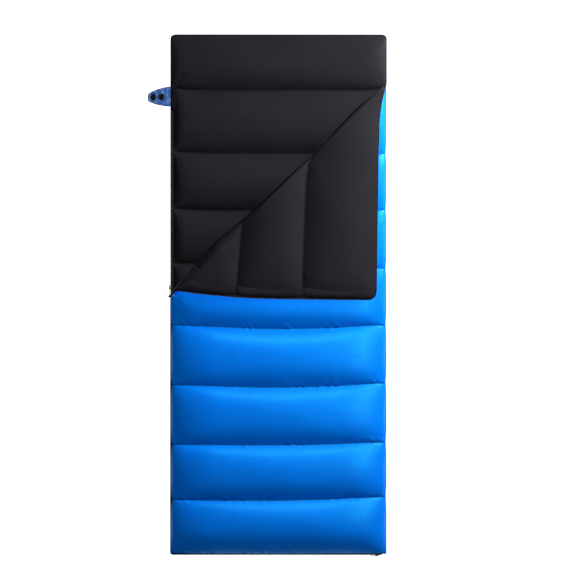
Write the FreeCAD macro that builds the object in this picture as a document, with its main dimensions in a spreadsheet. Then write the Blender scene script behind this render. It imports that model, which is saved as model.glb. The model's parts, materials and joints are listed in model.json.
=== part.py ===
"""Rectangular quilted sleeping bag, lying flat with the zip-side corner of its cover folded back.

Frame: +Z up, +Y towards the head, +X towards the sewn side of the bag. The origin is the centre of
the face that the bag lies on. All sizes are in millimetres.

The bag is two quilted panels, back and cover, joined by a fold along the +X side and by a zip along
the -X side and the foot. Each panel is an outer shell, an inner lining and one filled chamber
between each pair of quilted seams. The corner of the cover at the head's zip side folds over a
diagonal line: it is modelled closed, as the rest of the cover, and then turned about that line.
"""

import FreeCAD
import Part
import math
import os
import re
import Sketcher

SIZES = [
    ("bag_width", 900, "across the bag, from zip to side fold"),
    ("bag_length", 2170, "from the foot to the head edge"),
    ("skin", 0.8, "shell or lining fabric with its quilting"),
    ("head_length", 235, "head part of the back, above its last seam"),
    ("back_loft", 42, "crown of a back chamber above the ground"),
    ("back_seam_height", 22, "seam between two back chambers above the ground"),
    ("back_edge_height", 30, "sewn edge of the back above the ground"),
    ("cavity", 12, "sleeping space between back and cover with the bag flat"),
    ("cover_loft", 46, "thickness of the cover at the crown of a chamber"),
    ("cover_seam", 8, "thickness of the cover at a seam"),
    ("cover_edge", 6, "thickness of the cover at its sewn edges"),
    ("edge_taper", 60, "width over which a panel thins towards its edge"),
    ("seam_wall", 3, "fabric between two neighbouring chambers"),
    ("hem_setback", 244, "top hem of the cover below the head edge"),
    ("cover_first", 256, "first cover chamber below the top hem"),
    ("foot_chamber_share", 0.888, "last cover chamber at the foot, as a share of the others' length"),
    ("back_margin", 20, "zip tape showing beside the padded edge of the back"),
    ("cover_margin", 10, "zip tape beside the padded edge of the cover"),
    ("fold_margin", 2, "side fold beside the padded edges"),
    ("fold_strip_inset", 0.2, "outer face of the side fold inside the outline"),
    ("fold_strip_gap", 2, "strips of the side fold above and below its hinge line"),
    ("fold_side_drop", 856, "along the zip side, from the top hem to the fold line"),
    ("fold_top_run", 868, "along the top hem, from the zip side to the fold line"),
    ("fold_gap", 4, "between the cover and the corner folded on it"),
    ("fold_clearance", 1, "padding held back from the fold line on each side"),
    ("flap_first", 305, "first chamber of the folded corner, from its hem"),
    ("flap_pitch", 279, "following chamber of the folded corner"),
    ("tape_thickness", 1, "zip tape"),
    ("tape_lap", 2, "edge of a zip tape inside the sewn edge of its panel"),
    ("tape_rise", 6, "upright part of the zip tape beside its coil"),
    ("coil_width", 3.4, "one side of the zip coil, across the chain"),
    ("coil_depth", 2.6, "zip coil, through the chain"),
    ("coil_gap", 2.6, "between the two coils, where the divider of a slider runs"),
    ("chain_inset", 1, "middle of the zip chain inside the outline of the bag"),
    ("slider_length", 18, "zip slider along the chain"),
    ("slider_width", 13, "zip slider across the chain"),
    ("slider_channel", 4, "space between the two plates of a slider"),
    ("plate", 1.4, "plates, lips and pull of a slider"),
    ("slider_running", 0.4, "slider lips and divider clear of the coils"),
    ("pull_length", 30, "zip pull from its pin to its end"),
    ("pull_width", 8, "zip pull"),
    ("pin_stand", 1, "middle of a pull's pin above the outer plate of its slider"),
    ("bail_space", 2.4, "under the bail of a slider"),
    ("bail_width", 2.24, "bail of a slider, across the chain"),
    ("ring_arm", 1.68, "side arm of a pull's ring, across the chain"),
    ("ring_inset", 1, "ring of a pull inside the end of its slider"),
    ("side_slider_rise", 43, "side slider above the end of the fold line"),
    ("foot_slider_stand", 861, "foot slider from the zip corner"),
    ("stop_length", 4, "top stop along the chain"),
    ("zip_end_drop", 66, "top end of the side zip below the top hem"),
    ("zip_fold_end", 10, "cover's leg of the side zip below the fold line"),
    ("corner_clearance", 60, "zip and draft tubes of the folding corner held back from the fold line"),
    ("foot_zip_end", 20, "end of the foot zip short of the side fold"),
    ("pin_block", 10, "retainer box and insertion pin along the chain"),
    ("draft_width", 34, "draft tube behind the side zip"),
    ("draft_depth", 8.5, "draft tube through its thickness"),
    ("draft_drop", 3, "underside of the draft tube below the cover"),
    ("draft_inset", 4, "draft tube inside the padded edge of the cover"),
    ("draft_hem_gap", 20, "draft tube short of the top hem"),
    ("tab_length", 112, "closure tab from its hinge line to its tip"),
    ("tab_root_width", 85, "closure tab where it is sewn on"),
    ("tab_tip_width", 39, "closure tab at its tip"),
    ("tab_thickness", 2.4, "closure tab"),
    ("tab_fold_length", 30, "part of the tab that stands up when the tab is closed"),
    ("tab_hinge_height", 53, "hinge line of the tab above the ground"),
    ("tab_hinge_inset", 4, "hinge line of the tab inside the outline"),
    ("tab_centre_drop", 19, "middle of the tab below the top hem"),
    ("tab_tip_height", 3, "tip of the tab above the ground"),
    ("tab_gap", 2, "between the parts of the tab at its creases, bridged by its cloth"),
    ("tab_close_pitch", 22, "slope of the closed tab in degrees"),
    ("tab_root_sink", 0.2, "root of the tab below the sewn edge of the back"),
    ("tab_head_gap", 1, "root of the tab short of the head part"),
    ("snap_first", 46.5, "first snap from the hinge line"),
    ("snap_spacing", 39, "between the two snaps"),
    ("snap_radius", 14.5, "cap of a snap"),
    ("snap_cap_height", 2.2, "cap of a snap"),
    ("socket_radius", 8, "socket of a snap"),
    ("socket_height", 1.6, "socket of a snap"),
    ("stud_radius", 5, "stud that a snap closes on"),
    ("stud_height", 1.8, "stud that a snap closes on"),
]
BACK_CHAMBERS = 8  # below the head part
COVER_CHAMBERS = 8
FLAP_CHAMBERS = 3

NAMES = {name for name, _, _ in SIZES}

# Places worked out from the sizes, as expressions over the sheet.
LEFT = "(0 - bag_width / 2)"
RIGHT = "(bag_width / 2)"
FOOT = "(0 - bag_length / 2)"
HEAD = "(bag_length / 2)"
NECK = f"({HEAD} - head_length)"
HEM = f"({HEAD} - hem_setback)"
BACK_LEFT = f"({LEFT} + back_margin)"
BACK_FOOT = f"({FOOT} + back_margin)"
COVER_LEFT = f"({LEFT} + cover_margin)"
COVER_FOOT = f"({FOOT} + cover_margin)"
PAD_RIGHT = f"({RIGHT} - fold_margin)"
COVER_LOW = "(back_loft + cavity)"
COVER_HIGH = f"({COVER_LOW} + cover_loft)"
COVER_MID = f"({COVER_LOW} + cover_loft / 2)"
FOLD_Z = f"({COVER_HIGH} + fold_gap / 2)"
SIDE_HINGE_Z = "(back_loft + cavity / 2)"
FOLD_LEFT_Y = f"({HEM} - fold_side_drop)"
FOLD_TOP_X = f"({LEFT} + fold_top_run)"
FOLD_SLOPE = "(fold_side_drop / fold_top_run)"
CLEAR_Y = f"(fold_clearance * sqrt(1 + {FOLD_SLOPE} ^ 2))"
CHAIN_X = f"({LEFT} + chain_inset)"
CHAIN_Y = f"({FOOT} + chain_inset)"
EDGE_LOW = f"({COVER_MID} - cover_edge / 2)"
EDGE_HIGH = f"({COVER_MID} + cover_edge / 2)"
CHAIN_Z = f"((back_edge_height + {EDGE_LOW}) / 2)"
COIL_NEAR = "(coil_gap / 2)"
COIL_FAR = "(coil_gap / 2 + coil_width)"
ZIP_TOP = f"({HEM} - zip_end_drop)"
ZIP_RIGHT = f"({RIGHT} - foot_zip_end)"
TAB_HINGE_X = f"({LEFT} + tab_hinge_inset)"
TAB_Y = f"({HEM} - tab_centre_drop)"

doc = FreeCAD.newDocument("SleepingBag")
sheet = doc.addObject("Spreadsheet::Sheet", "Sizes")
nodes = {}


def fill_sheet():
    for row, (name, size, meaning) in enumerate(SIZES, start=1):
        sheet.set(f"A{row}", name)
        sheet.set(f"B{row}", str(size))
        sheet.set(f"C{row}", meaning)
        sheet.setAlias(f"B{row}", name)
    doc.recompute()


def full(text):
    """The expression with each size's name turned into a reference to the sheet."""
    return re.sub(r"[a-z_]+", lambda m: "Sizes." + m[0] if m[0] in NAMES else m[0], str(text))


def number(text):
    """The present value of an expression."""
    return float(sheet.evalExpression(full(text)))


def bind(thing, **properties):
    for name, text in properties.items():
        thing.setExpression(name, full(text))


def put(thing, x="0", y="0", z="0"):
    for axis, text in zip("xyz", (x, y, z)):
        thing.setExpression(f".Placement.Base.{axis}", full(text))


def node(label, thing):
    """Names a finished sub-part."""
    thing.Label = label
    nodes[label] = thing
    return thing


def box(name, x, y, z):
    """A box between pairs of expressions."""
    thing = doc.addObject("Part::Box", name)
    spans = [f"{high} - ({low})" for low, high in (x, y, z)]
    bind(thing, Length=spans[0], Width=spans[1], Height=spans[2])
    put(thing, x[0], y[0], z[0])
    return thing


def combine(kind, name, things):
    thing = doc.addObject(f"Part::Multi{kind}", name)
    thing.Shapes = things
    return thing


def cut(name, base, tool):
    thing = doc.addObject("Part::Cut", name)
    thing.Base = base
    thing.Tool = tool
    return thing


def group(name, things):
    """Separate solids that share one node."""
    thing = doc.addObject("Part::Compound", name)
    thing.Links = things
    return thing


def outline_sketch(body, name, plane, corners, offset):
    """A closed outline on one of the body's own planes, each corner bound to the sheet."""
    sketch = body.newObject("Sketcher::SketchObject", name)
    flat = [o for o in body.Origin.OriginFeatures if o.Role == plane][0]
    sketch.AttachmentSupport = [(flat, "")]
    sketch.MapMode = "FlatFace"
    sketch.setExpression(".AttachmentOffset.Base.z", full(offset))
    points = [FreeCAD.Vector(number(u), number(v), 0) for u, v in corners]
    sides = []
    for start, end in zip(points, points[1:] + points[:1]):
        sides.append(sketch.addGeometry(Part.LineSegment(start, end), False))
    for side, following in zip(sides, sides[1:] + sides[:1]):
        sketch.addConstraint(Sketcher.Constraint("Coincident", side, 2, following, 1))
    for side, point, corner in zip(sides, points, corners):
        for kind, distance, text in (("X", point.x, corner[0]), ("Y", point.y, corner[1])):
            held = Sketcher.Constraint(f"Distance{kind}", -1, 1, side, 1, distance)
            index = sketch.addConstraint(held)
            sketch.renameConstraint(index, f"corner{side}{kind}")
            sketch.setExpression(f"Constraints.corner{side}{kind}", full(text))
    return sketch


def prism(name, plane, corners, start, end):
    """A padded outline: XY runs along +Z, YZ along +X and XZ along Y, from start to end."""
    body = doc.addObject("PartDesign::Body", name)
    # The XZ plane faces -Y, so its pad starts at the far end.
    offset = f"0 - ({end})" if plane == "XZ_Plane" else start
    sketch = outline_sketch(body, f"{name}_outline", plane, corners, offset)
    pad = body.newObject("PartDesign::Pad", f"{name}_pad")
    pad.Profile = sketch
    bind(pad, Length=f"{end} - ({start})")
    return body


def arch(name, y, crown, springing, inset):
    """A long cylinder across the bag whose surface is a chamber's curve from seam to seam.

    It bulges up to its crown where the crown is above the springing, and down to it where not.
    """
    half = f"(({y[1]} - {y[0]}) / 2)"
    rise = f"abs({crown} - {springing})"
    radius = f"(({half} ^ 2 + {rise} ^ 2) / (2 * {rise}))"
    inward = f"(({springing} - {crown}) / {rise})"
    thing = doc.addObject("Part::Cylinder", name)
    thing.Placement.Rotation = FreeCAD.Rotation(FreeCAD.Vector(0, 1, 0), 90)
    bind(thing, Radius=f"{radius} - {inset}", Height="bag_width")
    put(thing, LEFT, f"({y[0]} + {y[1]}) / 2", f"{crown} + {inward} * {radius}")
    return thing


def inside(y):
    """A chamber's fill, short of the seams on both sides."""
    return f"{y[0]} + seam_wall / 2", f"{y[1]} - seam_wall / 2"


# --- quilted panels -----------------------------------------------------------------------------


def section(name, left, levels, inset):
    """Cross-section of a panel with its thinner edges, run along the whole bag.

    levels are the heights of the underside, of the two edges of the sewn side, and of the crown.
    """
    low, edge_low, edge_high, high = levels
    near = f"{left} + {inset}"
    far = f"{PAD_RIGHT} - {inset}"
    corners = [
        (f"{left} + edge_taper", f"{low} + {inset}"),
        (f"{PAD_RIGHT} - edge_taper", f"{low} + {inset}"),
        (far, f"{edge_low} + {inset}"),
        (far, f"{edge_high} - {inset}"),
        (f"{PAD_RIGHT} - edge_taper", f"{high} - {inset}"),
        (f"{left} + edge_taper", f"{high} - {inset}"),
        (near, f"{edge_high} - {inset}"),
        (near, f"{edge_low} + {inset}"),
    ]
    return prism(name, "XZ_Plane", corners, FOOT, HEAD)


def chamber(name, y, curves, inset, limits):
    """One chamber: the space between its curves, from seam to seam, within the panel's limits.

    curves holds a crown and a springing height for the upper side and, where the chamber bulges
    both ways, for the lower one.
    """
    length = inside(y) if inset != "0" else y
    arches = [arch(f"{name}_arch_{i}", y, *curve, inset) for i, curve in enumerate(curves)]
    low = curves[1][0] if len(curves) > 1 else "skin"
    block = box(f"{name}_box", (LEFT, RIGHT), length, (low, curves[0][0]))
    return combine("Common", name, [block] + arches + limits)


def quilt(prefix, lines, curves, limits, placed):
    """Builds and names the fills of a panel, and returns the skin that encloses them.

    limits gives, for each chamber, the solids that the skin and the fill are kept within.
    """
    domes = []
    fills = []
    for i in range(len(lines) - 1):
        y = (lines[i + 1], lines[i])
        outer, inner = limits(i)
        domes.append(chamber(f"{prefix}_dome_{i}", y, curves, "0", outer))
        fills.append(chamber(f"{prefix}_chamber_{i}", y, curves, "skin", inner))
    dome = combine("Fuse", f"{prefix}_domes", domes)
    filling = combine("Fuse", f"{prefix}_filling", fills)
    for i, fill in enumerate(fills, start=1):
        placed(f"{prefix}_fill_{i}", group(f"{prefix}_fill_{i}", [fill]))
    return cut(f"{prefix}_skin", dome, filling)


def back_lines():
    """Seams of the back from the head edge to the foot."""
    pitch = f"(({NECK} - {BACK_FOOT}) / {BACK_CHAMBERS})"
    return [HEAD] + [f"({NECK} - {i} * {pitch})" for i in range(BACK_CHAMBERS + 1)]


def build_back():
    """The back: flat shell on the ground, domed lining above, wider in its head part."""
    levels = ("skin", "skin", "back_edge_height", "back_loft")
    # The core's inset brings its underside up to that of the hull.
    core_levels = ("0", "0", "back_edge_height", "back_loft")
    hulls = {}
    for name, left, heights, inset in (
        ("head_hull", LEFT, levels, "0"),
        ("head_core", LEFT, core_levels, "skin"),
        ("back_hull", BACK_LEFT, levels, "0"),
        ("back_core", BACK_LEFT, core_levels, "skin"),
    ):
        hulls[name] = section(name, left, heights, inset)

    def limits(i):
        which = "head" if i == 0 else "back"
        return [hulls[f"{which}_hull"]], [hulls[f"{which}_core"]]

    curves = [("back_loft", "back_seam_height")]
    node("back_lining", quilt("back", back_lines(), curves, limits, node))
    ground = [
        (BACK_LEFT, BACK_FOOT),
        (PAD_RIGHT, BACK_FOOT),
        (PAD_RIGHT, HEAD),
        (LEFT, HEAD),
        (LEFT, NECK),
        (BACK_LEFT, NECK),
    ]
    node("back_shell", prism("back_shell", "XY_Plane", ground, "0", "skin"))


def cover_lines():
    """Seams of the cover from its top hem to the foot."""
    even = COVER_CHAMBERS - 2
    pitch = f"(({HEM} - {COVER_FOOT} - cover_first) / ({even} + foot_chamber_share))"
    middle = [f"({HEM} - cover_first - {i} * {pitch})" for i in range(even + 1)]
    return [HEM] + middle + [COVER_FOOT]


def flap_lines():
    """Seams of the folding corner, from its hem to the end of the fold line."""
    middle = [f"({HEM} - flap_first - {i} * flap_pitch)" for i in range(FLAP_CHAMBERS - 1)]
    return [HEM] + middle + [FOLD_LEFT_Y]


def fold_at(x, away):
    """Y of the fold line at an X place, moved by the clearance up (1) or down (-1) the bag."""
    return f"({FOLD_LEFT_Y} + ({x} - {LEFT}) * {FOLD_SLOPE} + ({away}) * {CLEAR_Y})"


def hem_end(away):
    """X at which the fold line, moved by the clearance, meets the top hem."""
    return f"({FOLD_TOP_X} - ({away}) * {CLEAR_Y} / {FOLD_SLOPE})"


def cover_plan(name, left, low, high):
    """The cover without its folding corner, seen from above."""
    corners = [
        (left, COVER_FOOT),
        (PAD_RIGHT, COVER_FOOT),
        (PAD_RIGHT, HEM),
        (hem_end(-1), HEM),
        (left, fold_at(left, -1)),
    ]
    return prism(name, "XY_Plane", corners, low, high)


def flap_plan(name, left, low, high):
    """The folding corner, seen from above with the bag closed."""
    return prism(name, "XY_Plane", [(left, fold_at(left, 1)), (hem_end(1), HEM), (left, HEM)], low, high)


def folded_back(label, thing):
    """Names a piece of the folding corner and turns it over the fold line, onto the cover."""
    node(label, thing)
    along = FreeCAD.Vector(number("fold_top_run"), number("fold_side_drop"), 0)
    hinge = FreeCAD.Vector(number(LEFT), number(FOLD_LEFT_Y), number(FOLD_Z))
    thing.Placement = FreeCAD.Placement(FreeCAD.Vector(), FreeCAD.Rotation(along, 180), hinge)
    return thing


def build_cover():
    """The cover and its folding corner, which share their cross-section: shell above, lining below."""
    levels = (COVER_LOW, EDGE_LOW, EDGE_HIGH, COVER_HIGH)
    hull = section("cover_hull", COVER_LEFT, levels, "0")
    core = section("cover_core", COVER_LEFT, levels, "skin")
    curves = [
        (COVER_HIGH, f"({COVER_MID} + cover_seam / 2)"),
        (COVER_LOW, f"({COVER_MID} - cover_seam / 2)"),
    ]
    for prefix, lines, plan, placed in (
        ("cover", cover_lines(), cover_plan, node),
        ("flap", flap_lines(), flap_plan, folded_back),
    ):
        outer = plan(f"{prefix}_plan", COVER_LEFT, COVER_LOW, COVER_HIGH)
        skin = quilt(prefix, lines, curves, lambda i: ([hull, outer], [core, outer]), placed)
        for part, low, high in (("shell", COVER_MID, COVER_HIGH), ("lining", COVER_LOW, COVER_MID)):
            half = box(f"{prefix}_{part}_half", (LEFT, RIGHT), (FOOT, HEAD), (low, high))
            placed(f"{prefix}_{part}", combine("Common", f"{prefix}_{part}", [skin, half]))


def build_side_fold():
    """Strips of shell that join the back and the cover along the side fold."""
    gap = "fold_strip_gap"
    for name, low, high, foot in (
        ("side_fold_back", "skin", f"{SIDE_HINGE_Z} - {gap}", BACK_FOOT),
        ("side_fold_cover", f"{SIDE_HINGE_Z} + {gap}", EDGE_HIGH, COVER_FOOT),
    ):
        outside = f"{RIGHT} - fold_strip_inset"
        corners = [(PAD_RIGHT, low), (outside, low), (outside, high), (PAD_RIGHT, high)]
        node(name, prism(name, "XZ_Plane", corners, foot, HEM))


# --- zip ----------------------------------------------------------------------------------------


def tape_section(edge, upright, up):
    """Cross-section of a zip tape: a sloping shelf from its panel, then an upright up to its coil.

    edge is the distance from the outline to the panel's edge, and up the height of the shelf there.
    upright is the side of the chain on which the tape stands: -1 below it, for the back, and 1
    above it, for the cover.
    """
    near = f"({CHAIN_Z} + ({upright}) * {COIL_FAR})"
    bend = f"({CHAIN_Z} + ({upright}) * ({COIL_FAR} + tape_rise))"
    low = "(chain_inset - tape_thickness / 2)"
    high = "(chain_inset + tape_thickness / 2)"
    inner = f"({bend} + ({upright}) * tape_thickness)"
    corners = [
        (low, near),
        (high, near),
        (high, bend),
        (edge, up),
        (edge, f"({up} + ({upright}) * tape_thickness)"),
        (low, inner),
    ]
    return corners


def tape_run(name, edge, upright, up, side, foot):
    """Tape along the side, between two Y places, and along the foot up to an X place."""
    section = tape_section(edge, upright, up)
    side_corners = [(f"{LEFT} + {u}", v) for u, v in section]
    runs = [prism(f"{name}_side", "XZ_Plane", side_corners, *side)]
    if foot:
        foot_corners = [(f"{FOOT} + {u}", v) for u, v in section]
        runs.append(prism(f"{name}_foot", "YZ_Plane", foot_corners, LEFT, foot))
        return combine("Fuse", name, runs)
    return runs[0]


def coil_run(name, upright, side_end, foot_end):
    """Both legs of a coil in one piece, round the foot corner of the zip."""
    out = "(chain_inset - coil_depth / 2)"
    into = "(chain_inset + coil_depth / 2)"
    corners = [
        (f"{LEFT} + {out}", f"{FOOT} + {out}"),
        (foot_end, f"{FOOT} + {out}"),
        (foot_end, f"{FOOT} + {into}"),
        (f"{LEFT} + {into}", f"{FOOT} + {into}"),
        (f"{LEFT} + {into}", side_end),
        (f"{LEFT} + {out}", side_end),
    ]
    if upright > 0:
        return prism(name, "XY_Plane", corners, f"({CHAIN_Z} + {COIL_NEAR})", f"({CHAIN_Z} + {COIL_FAR})")
    return prism(name, "XY_Plane", corners, f"({CHAIN_Z} - {COIL_FAR})", f"({CHAIN_Z} - {COIL_NEAR})")


def build_tapes(flap_start):
    back_shelf = ("back_margin", -1, "(back_edge_height - tape_lap)")
    cover_shelf = ("cover_margin", 1, f"({EDGE_LOW} + tape_lap)")
    cover_end = f"({FOLD_LEFT_Y} - zip_fold_end)"
    node("zip_tape_back", tape_run("zip_tape_back", *back_shelf, (FOOT, ZIP_TOP), ZIP_RIGHT))
    node("zip_tape_cover", tape_run("zip_tape_cover", *cover_shelf, (FOOT, cover_end), ZIP_RIGHT))
    folded_back("zip_tape_flap", tape_run("zip_tape_flap", *cover_shelf, (flap_start, ZIP_TOP), None))


def build_coils(flap_start):
    """The two halves of the chain with their stops, and the box and pin at its foot end."""
    coil_top = f"({ZIP_TOP} - stop_length)"
    coil_end = f"({ZIP_RIGHT} - pin_block)"
    node("zip_coil_back", coil_run("zip_coil_back", -1, coil_top, coil_end))
    node("zip_coil_cover", coil_run("zip_coil_cover", 1, f"({FOLD_LEFT_Y} - zip_fold_end)", coil_end))
    depth = (f"{CHAIN_X} - coil_depth / 2", f"{CHAIN_X} + coil_depth / 2")
    above = (f"{CHAIN_Z} + {COIL_NEAR}", f"{CHAIN_Z} + {COIL_FAR}")
    below = (f"{CHAIN_Z} - {COIL_FAR}", f"{CHAIN_Z} - {COIL_NEAR}")
    flap_coil = box("flap_coil_bar", depth, (flap_start, coil_top), above)
    folded_back("zip_coil_flap", group("zip_coil_flap", [flap_coil]))
    stop = (coil_top, ZIP_TOP)
    node("zip_top_stop_back", box("zip_top_stop_back", depth, stop, below))
    flap_stop = box("flap_stop_block", depth, stop, above)
    folded_back("zip_top_stop_flap", group("zip_top_stop_flap", [flap_stop]))
    foot_depth = (f"{CHAIN_Y} - coil_depth / 2", f"{CHAIN_Y} + coil_depth / 2")
    block = (coil_end, ZIP_RIGHT)
    node("zip_retainer_box", box("zip_retainer_box", block, foot_depth, below))
    node("zip_insertion_pin", box("zip_insertion_pin", block, foot_depth, above))


def draft_tube(name, y):
    """Padded tube that lies behind the side zip, its four edges cut off at a slant."""
    z = (f"({COVER_LOW} - draft_drop)", f"({COVER_LOW} - draft_drop + draft_depth)")
    x = (f"({COVER_LEFT} + draft_inset)", f"({COVER_LEFT} + draft_inset + draft_width)")
    corners = []
    third = "(draft_depth / 3)"
    for u, v in ((x[0], z[0]), (x[1], z[0]), (x[1], z[1]), (x[0], z[1])):
        inward = 1 if u == x[0] else -1
        upward = 1 if v == z[0] else -1
        across = (f"{u} + ({inward}) * {third}", v)
        down = (u, f"{v} + ({upward}) * {third}")
        corners += [down, across] if inward == upward else [across, down]
    return prism(name, "XZ_Plane", corners, *y)


def build_draft_tubes(flap_start):
    cover_end = f"({FOLD_LEFT_Y} - corner_clearance)"
    node("draft_tube_cover", draft_tube("draft_tube_cover", (COVER_FOOT, cover_end)))
    flap_tube = draft_tube("draft_tube_flap", (flap_start, f"({HEM} - draft_hem_gap)"))
    folded_back("draft_tube_flap", flap_tube)


def slider(name, lip_side):
    """Slider body about its chain: travel along Y, outer face towards -X, chain middle at 0.

    The two plates are joined by the divider that runs between the coils. Lips close the channel
    on the side of the back's tape, and an arched bail stands on the outer plate for the pull.
    """
    half_width = "(slider_width / 2)"
    half_length = "(slider_length / 2)"
    half_channel = "(slider_channel / 2)"
    wide = (f"0 - {half_width}", half_width)
    long = (f"0 - {half_length}", half_length)
    outer = (f"0 - {half_channel} - plate", f"0 - {half_channel}")
    inner = (half_channel, f"{half_channel} + plate")
    divider = "(coil_gap / 2 - slider_running)"
    lip_reach = "(tape_thickness / 2 + slider_running)"
    lip = (f"{COIL_FAR} + slider_running", half_width)
    if lip_side < 0:
        lip = (f"0 - {lip[1]}", f"0 - ({lip[0]})")
    bail_out = f"0 - {half_channel} - 2 * plate - bail_space"
    foot_near = "(slider_length / 3 - plate)"
    foot_far = "(slider_length / 3)"
    bail = ("0 - bail_width / 2", "bail_width / 2")
    pieces = [
        box(f"{name}_outer_plate", outer, long, wide),
        box(f"{name}_inner_plate", inner, long, wide),
        box(
            f"{name}_divider",
            (f"0 - {half_channel}", half_channel),
            (f"{half_length} - slider_length / 3", half_length),
            (f"0 - {divider}", divider),
        ),
        box(f"{name}_outer_lip", (f"0 - {half_channel}", f"0 - {lip_reach}"), long, lip),
        box(f"{name}_inner_lip", (lip_reach, half_channel), long, lip),
        box(f"{name}_bail_top", (bail_out, f"{bail_out} + plate"), (f"0 - {foot_far}", foot_far), bail),
        box(f"{name}_bail_head", (bail_out, outer[0]), (foot_near, foot_far), bail),
        box(f"{name}_bail_tail", (bail_out, outer[0]), (f"0 - {foot_far}", f"0 - {foot_near}"), bail),
    ]
    return combine("Fuse", name, pieces)


def pull(name):
    """Pull with its ring round the bail: a pin under the bail, two arms and a flat tab."""
    half = "(pull_width / 2)"
    pin_x = "(0 - slider_channel / 2 - plate - pin_stand)"
    skin_x = (f"{pin_x} - plate / 2", f"{pin_x} + plate / 2")
    ring_end = "(0 - slider_length / 2 + ring_inset)"
    pieces = [
        box(f"{name}_pin", skin_x, ("0 - plate / 2", "plate / 2"), (f"0 - {half}", half)),
        box(f"{name}_low_arm", skin_x, (ring_end, "0"), (f"0 - {half}", f"0 - {half} + ring_arm")),
        box(f"{name}_high_arm", skin_x, (ring_end, "0"), (f"{half} - ring_arm", half)),
        box(f"{name}_tab", skin_x, ("0 - pull_length", ring_end), (f"0 - {half}", half)),
    ]
    return combine("Fuse", name, pieces)


def build_sliders():
    side_place = FreeCAD.Vector(number(CHAIN_X), number(f"{FOLD_LEFT_Y} + side_slider_rise"), number(CHAIN_Z))
    foot_place = FreeCAD.Vector(number(f"{LEFT} + foot_slider_stand"), number(CHAIN_Y), number(CHAIN_Z))
    upright = FreeCAD.Rotation()
    # The foot slider faces -Y and opens towards -X: X and Y trade places and Z turns over.
    turned = FreeCAD.Rotation(FreeCAD.Vector(1, 1, 0), 180)
    for name, lip_side, place, turn in (
        ("side_slider", -1, side_place, upright),
        ("foot_slider", 1, foot_place, turned),
    ):
        body = node(name, slider(name, lip_side))
        body.Placement = FreeCAD.Placement(place, turn)
        tab = node(f"{name}_pull", pull(f"{name}_pull"))
        tab.Placement = FreeCAD.Placement(place, turn)


# --- closure tab --------------------------------------------------------------------------------


def tab_droop():
    """Angle at which the tab hangs down from its hinge line to the ground, in degrees."""
    return math.degrees(math.asin(number("(tab_hinge_height - tab_tip_height) / tab_length")))


def tab_piece(name, start, end):
    """Part of the tab between two distances from its hinge line, lying along -X from it."""
    taper = "((tab_root_width - tab_tip_width) / 2 / tab_length)"
    near = f"(tab_root_width / 2 - ({start}) * {taper})"
    far = f"(tab_root_width / 2 - ({end}) * {taper})"
    corners = [
        (f"0 - ({start})", f"0 - {near}"),
        (f"0 - ({start})", near),
        (f"0 - ({end})", far),
        (f"0 - ({end})", f"0 - {far}"),
    ]
    return prism(name, "XY_Plane", corners, "(0 - tab_thickness / 2)", "(tab_thickness / 2)")


def disc(name, radius, height, x, z):
    thing = doc.addObject("Part::Cylinder", name)
    bind(thing, Radius=radius, Height=height)
    put(thing, x, "0", z)
    return thing


def snap_places():
    return ["snap_first", "(snap_first + snap_spacing)"]


def build_tab():
    hinge = FreeCAD.Vector(number(TAB_HINGE_X), number(TAB_Y), number("tab_hinge_height"))
    hung = FreeCAD.Placement(hinge, FreeCAD.Rotation(FreeCAD.Vector(0, 1, 0), -tab_droop()))
    split = "tab_fold_length"
    base = node("tab_base", tab_piece("tab_base", "0", f"{split} - tab_gap / 2"))
    tip = node("tab_tip", tab_piece("tab_tip", f"{split} + tab_gap / 2", "tab_length"))
    caps = []
    sockets = []
    under = "0 - tab_thickness / 2 - socket_height"
    for i, place in enumerate(snap_places(), start=1):
        x = f"0 - {place}"
        caps.append(disc(f"snap_cap_{i}", "snap_radius", "snap_cap_height", x, "tab_thickness / 2"))
        sockets.append(disc(f"snap_socket_{i}", "socket_radius", "socket_height", x, under))
    cap_group = node("tab_snap_caps", group("tab_snap_caps", caps))
    socket_group = node("tab_snap_sockets", group("tab_snap_sockets", sockets))
    for thing in (base, tip, cap_group, socket_group):
        thing.Placement = hung
    root = [
        (BACK_LEFT, "(back_edge_height - tab_thickness)"),
        (BACK_LEFT, "back_edge_height - tab_root_sink"),
        (f"({TAB_HINGE_X} + tab_gap)", "tab_hinge_height + tab_thickness / 2"),
        (f"({TAB_HINGE_X} + tab_gap)", "tab_hinge_height - tab_thickness / 2"),
    ]
    low = f"({TAB_Y} - tab_root_width / 2)"
    node("tab_root", prism("tab_root", "XZ_Plane", root, low, f"({NECK} - tab_head_gap)"))


def build_snap_studs():
    """Two studs on the shell of the folding corner, where the snaps of the closed tab meet it."""
    slope = math.atan2(number(f"{COVER_HIGH} - {EDGE_HIGH}"), number("edge_taper"))
    tip_pitch = math.radians(number("tab_close_pitch"))
    studs = []
    for i, place in enumerate(snap_places(), start=1):
        along = number(f"{place} - tab_fold_length")
        x = number(TAB_HINGE_X) + along * math.cos(tip_pitch)
        z = number(EDGE_HIGH) + (x - number(COVER_LEFT)) * math.tan(slope)
        stud = doc.addObject("Part::Cylinder", f"snap_stud_{i}")
        bind(stud, Radius="stud_radius", Height="stud_height")
        lean = FreeCAD.Rotation(FreeCAD.Vector(0, 1, 0), -math.degrees(slope))
        stud.Placement = FreeCAD.Placement(FreeCAD.Vector(x, number(TAB_Y), z), lean)
        studs.append(stud)
    folded_back("flap_snap_studs", group("flap_snap_studs", studs))


# --- building, checking and writing -------------------------------------------------------------


def check(thing):
    if "Invalid" in thing.State or "Error" in thing.State:
        raise RuntimeError(f"{thing.Label} failed: {thing.State}")


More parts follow.
